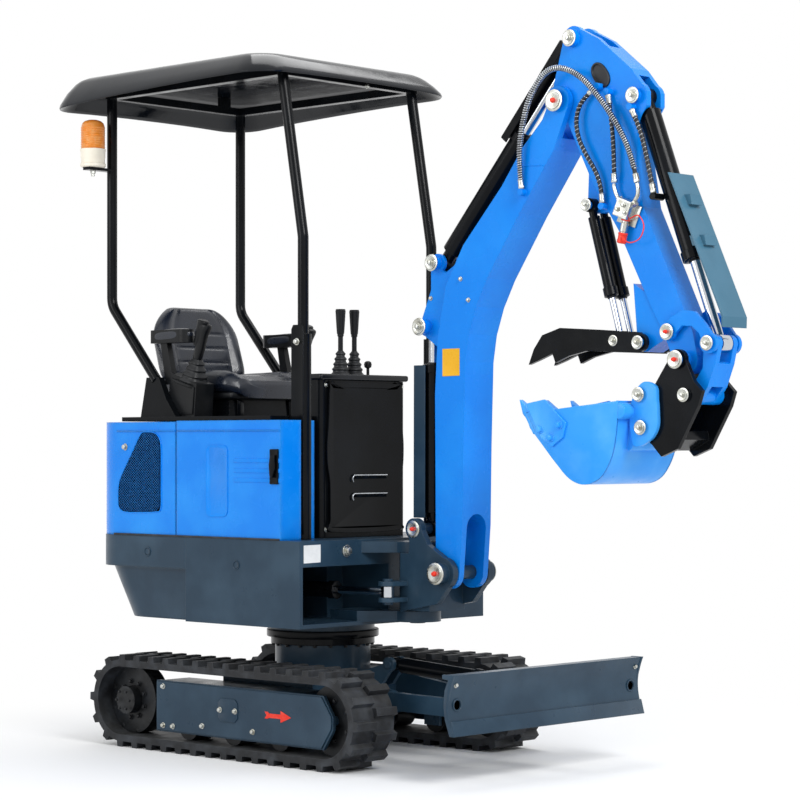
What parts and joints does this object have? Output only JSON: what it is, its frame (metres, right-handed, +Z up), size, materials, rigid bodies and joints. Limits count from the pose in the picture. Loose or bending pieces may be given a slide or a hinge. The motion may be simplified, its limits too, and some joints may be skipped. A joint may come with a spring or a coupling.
{
  "type": "mini excavator",
  "caption": "Compact tracked excavator with canopy, swing boom, thumb, quick hitch, bucket and dozer blade, all on working joints.",
  "frame": {"origin": "on the ground, under the middle of the machine's overall length and width", "axes": "+X forwards over the blade, +Y to the operator's left, +Z up"},
  "size_m": [2.535, 0.9, 2.261],
  "materials": {
    "blue_paint": "saturated azure gloss enamel",
    "slate_paint": "slate blue-grey gloss enamel",
    "black_paint": "gloss black enamel",
    "rubber": "matt black rubber",
    "cast_steel": "dark cast steel",
    "chrome_rod": "polished chrome",
    "black_plastic": "satin black plastic",
    "seat_vinyl": "black vinyl",
    "zinc_plate": "yellow-passivated zinc plating",
    "amber_plastic": "clear amber and cream plastic"
  },
  "bodies": {
    "undercarriage": {"undercarriage_frame": "slate_paint", "slew_ring": "black_paint", "track_left": "rubber", "track_right": "rubber", "running_gear_left": "cast_steel", "running_gear_right": "cast_steel"},
    "blade": {"dozer_blade": "slate_paint"},
    "blade_barrel": {"blade_ram_barrel": "black_paint"},
    "blade_rod": {"blade_ram_rod": "chrome_rod"},
    "house": {"upper_frame": "slate_paint", "counterweight": "slate_paint", "right_cover": "blue_paint", "left_cover": "blue_paint", "engine": "cast_steel", "seat_deck": "black_paint", "seat": "seat_vinyl", "console_left": "black_plastic", "console_right": "black_plastic", "front_console": "black_paint", "travel_levers": "black_plastic", "canopy_frame": "black_paint", "canopy_roof": "black_paint", "beacon": "amber_plastic"},
    "door": {"rear_door": "blue_paint"},
    "bracket": {"swing_bracket": "slate_paint"},
    "swing_barrel": {"swing_ram_barrel": "black_paint"},
    "swing_rod": {"swing_ram_rod": "chrome_rod"},
    "boom": {"boom": "blue_paint", "hose_over": "rubber"},
    "boom_barrel": {"boom_ram_barrel": "black_paint"},
    "boom_rod": {"boom_ram_rod": "chrome_rod"},
    "arm": {"arm": "blue_paint", "valve_block": "zinc_plate", "hose_thumb": "rubber", "hose_valve": "rubber", "hose_bucket": "rubber"},
    "arm_barrel": {"arm_ram_barrel": "black_paint"},
    "arm_rod": {"arm_ram_rod": "chrome_rod"},
    "bucket_barrel": {"bucket_ram_barrel": "black_paint", "bucket_ram_guard": "slate_paint"},
    "bucket_rod": {"bucket_ram_rod": "chrome_rod"},
    "rocker": {"rocker": "blue_paint"},
    "link": {"link": "blue_paint"},
    "bucket": {"hitch": "black_paint", "bucket": "blue_paint"},
    "thumb": {"thumb": "black_paint"},
    "thumb_barrel": {"thumb_ram_barrels": "black_paint"},
    "thumb_rod": {"thumb_ram_rods": "chrome_rod"}
  },
  "joints": [
    {"name": "slew", "type": "hinge", "parent": "undercarriage", "child": "house", "pos_m": [-0.4035, 0, 0.371], "axis": [0, 0, 1], "continuous": true},
    {"name": "blade_lift", "type": "hinge", "parent": "undercarriage", "child": "blade", "pos_m": [0.0465, 0, 0.2], "axis": [0, 1, 0], "range_deg": [-13, 27]},
    {"name": "blade_barrel_tilt", "type": "hinge", "parent": "undercarriage", "child": "blade_barrel", "pos_m": [-0.0735, 0, 0.296], "axis": [0, 1, 0], "range_deg": [-16, 30]},
    {"name": "blade_rod_slide", "type": "slide", "parent": "blade_barrel", "child": "blade_rod", "axis": [0.9981, 0, -0.0617], "range_m": [-0.03, 0.05]},
    {"name": "rear_door_swing", "type": "hinge", "parent": "house", "child": "door", "pos_m": [-1.0955, 0.3025, 0], "axis": [0, 0, 1], "range_deg": [-95, 0]},
    {"name": "boom_swing", "type": "hinge", "parent": "house", "child": "bracket", "pos_m": [0.0265, 0, 0.567], "axis": [0, 0, 1], "range_deg": [-50, 50]},
    {"name": "swing_barrel_turn", "type": "hinge", "parent": "house", "child": "swing_barrel", "pos_m": [-0.5335, -0.237, 0.54], "axis": [0, 0, 1], "range_deg": [-3, 3]},
    {"name": "swing_rod_slide", "type": "slide", "parent": "swing_barrel", "child": "swing_rod", "axis": [0.9885, 0.1514, 0], "range_m": [-0.13, 0.13]},
    {"name": "boom_lift", "type": "hinge", "parent": "bracket", "child": "boom", "pos_m": [0.2165, 0, 0.602], "axis": [0, 1, 0], "range_deg": [-5, 75]},
    {"name": "boom_barrel_tilt", "type": "hinge", "parent": "bracket", "child": "boom_barrel", "pos_m": [0.0955, 0, 0.738], "axis": [0, 1, 0], "range_deg": [-8, 84]},
    {"name": "boom_rod_slide", "type": "slide", "parent": "boom_barrel", "child": "boom_rod", "axis": [0.0031, 0, 1], "range_m": [-0.02, 0.22]},
    {"name": "arm_reach", "type": "hinge", "parent": "boom", "child": "arm", "pos_m": [0.6605, 0, 2.038], "axis": [0, -1, 0], "range_deg": [-8, 100], "deforming": ["hose_over"]},
    {"name": "arm_barrel_tilt", "type": "hinge", "parent": "boom", "child": "arm_barrel", "pos_m": [0.1455, 0, 1.577], "axis": [0, 1, 0], "range_deg": [-14, 4]},
    {"name": "arm_rod_slide", "type": "slide", "parent": "arm_barrel", "child": "arm_rod", "axis": [0.6537, 0, 0.7568], "range_m": [-0.3, 0.03]},
    {"name": "bucket_open", "type": "hinge", "parent": "arm", "child": "bucket", "pos_m": [1.1245, 0, 1.249], "axis": [0, -1, 0], "range_deg": [-10, 130]},
    {"name": "rocker_turn", "type": "hinge", "parent": "arm", "child": "rocker", "pos_m": [1.0735, 0, 1.331], "axis": [0, -1, 0], "range_deg": [-10, 90]},
    {"name": "link_turn", "type": "hinge", "parent": "rocker", "child": "link", "pos_m": [1.2165, 0, 1.295], "axis": [0, -1, 0], "range_deg": [-35, 5]},
    {"name": "bucket_barrel_tilt", "type": "hinge", "parent": "arm", "child": "bucket_barrel", "pos_m": [0.9425, 0, 2.029], "axis": [0, -1, 0], "range_deg": [-4, 4]},
    {"name": "bucket_rod_slide", "type": "slide", "parent": "bucket_barrel", "child": "bucket_rod", "axis": [0.3497, 0, -0.9369], "range_m": [-0.22, 0.03]},
    {"name": "thumb_close", "type": "hinge", "parent": "arm", "child": "thumb", "pos_m": [0.9725, 0, 1.303], "axis": [0, -1, 0], "range_deg": [-42, 8]},
    {"name": "thumb_barrel_tilt", "type": "hinge", "parent": "arm", "child": "thumb_barrel", "pos_m": [0.7605, 0, 1.72], "axis": [0, 1, 0], "range_deg": [-10, 4]},
    {"name": "thumb_rod_slide", "type": "slide", "parent": "thumb_barrel", "child": "thumb_rod", "axis": [0.2729, 0, -0.9621], "range_m": [-0.06, 0.02]}
  ],
  "couplings": [
    {"joint": "blade_barrel_tilt", "follows": "blade_lift", "ratio": 0.7614},
    {"joint": "blade_rod_slide", "follows": "blade_lift", "m_per_rad": 0.07675},
    {"joint": "swing_barrel_turn", "follows": "boom_swing", "ratio": -0.02},
    {"joint": "swing_rod_slide", "follows": "boom_swing", "m_per_rad": 0.136},
    {"joint": "boom_barrel_tilt", "follows": "boom_lift", "ratio": 1.0552},
    {"joint": "boom_rod_slide", "follows": "boom_lift", "m_per_rad": 0.15422},
    {"joint": "arm_barrel_tilt", "follows": "arm_reach", "ratio": -0.0989},
    {"joint": "arm_rod_slide", "follows": "arm_reach", "m_per_rad": -0.15606},
    {"joint": "rocker_turn", "follows": "bucket_open", "ratio": 0.66},
    {"joint": "link_turn", "follows": "bucket_open", "ratio": -0.24},
    {"joint": "bucket_barrel_tilt", "follows": "bucket_open", "ratio": -0.004},
    {"joint": "bucket_rod_slide", "follows": "bucket_open", "m_per_rad": -0.092},
    {"joint": "thumb_barrel_tilt", "follows": "thumb_close", "ratio": 0.1577},
    {"joint": "thumb_rod_slide", "follows": "thumb_close", "m_per_rad": 0.06395}
  ]
}
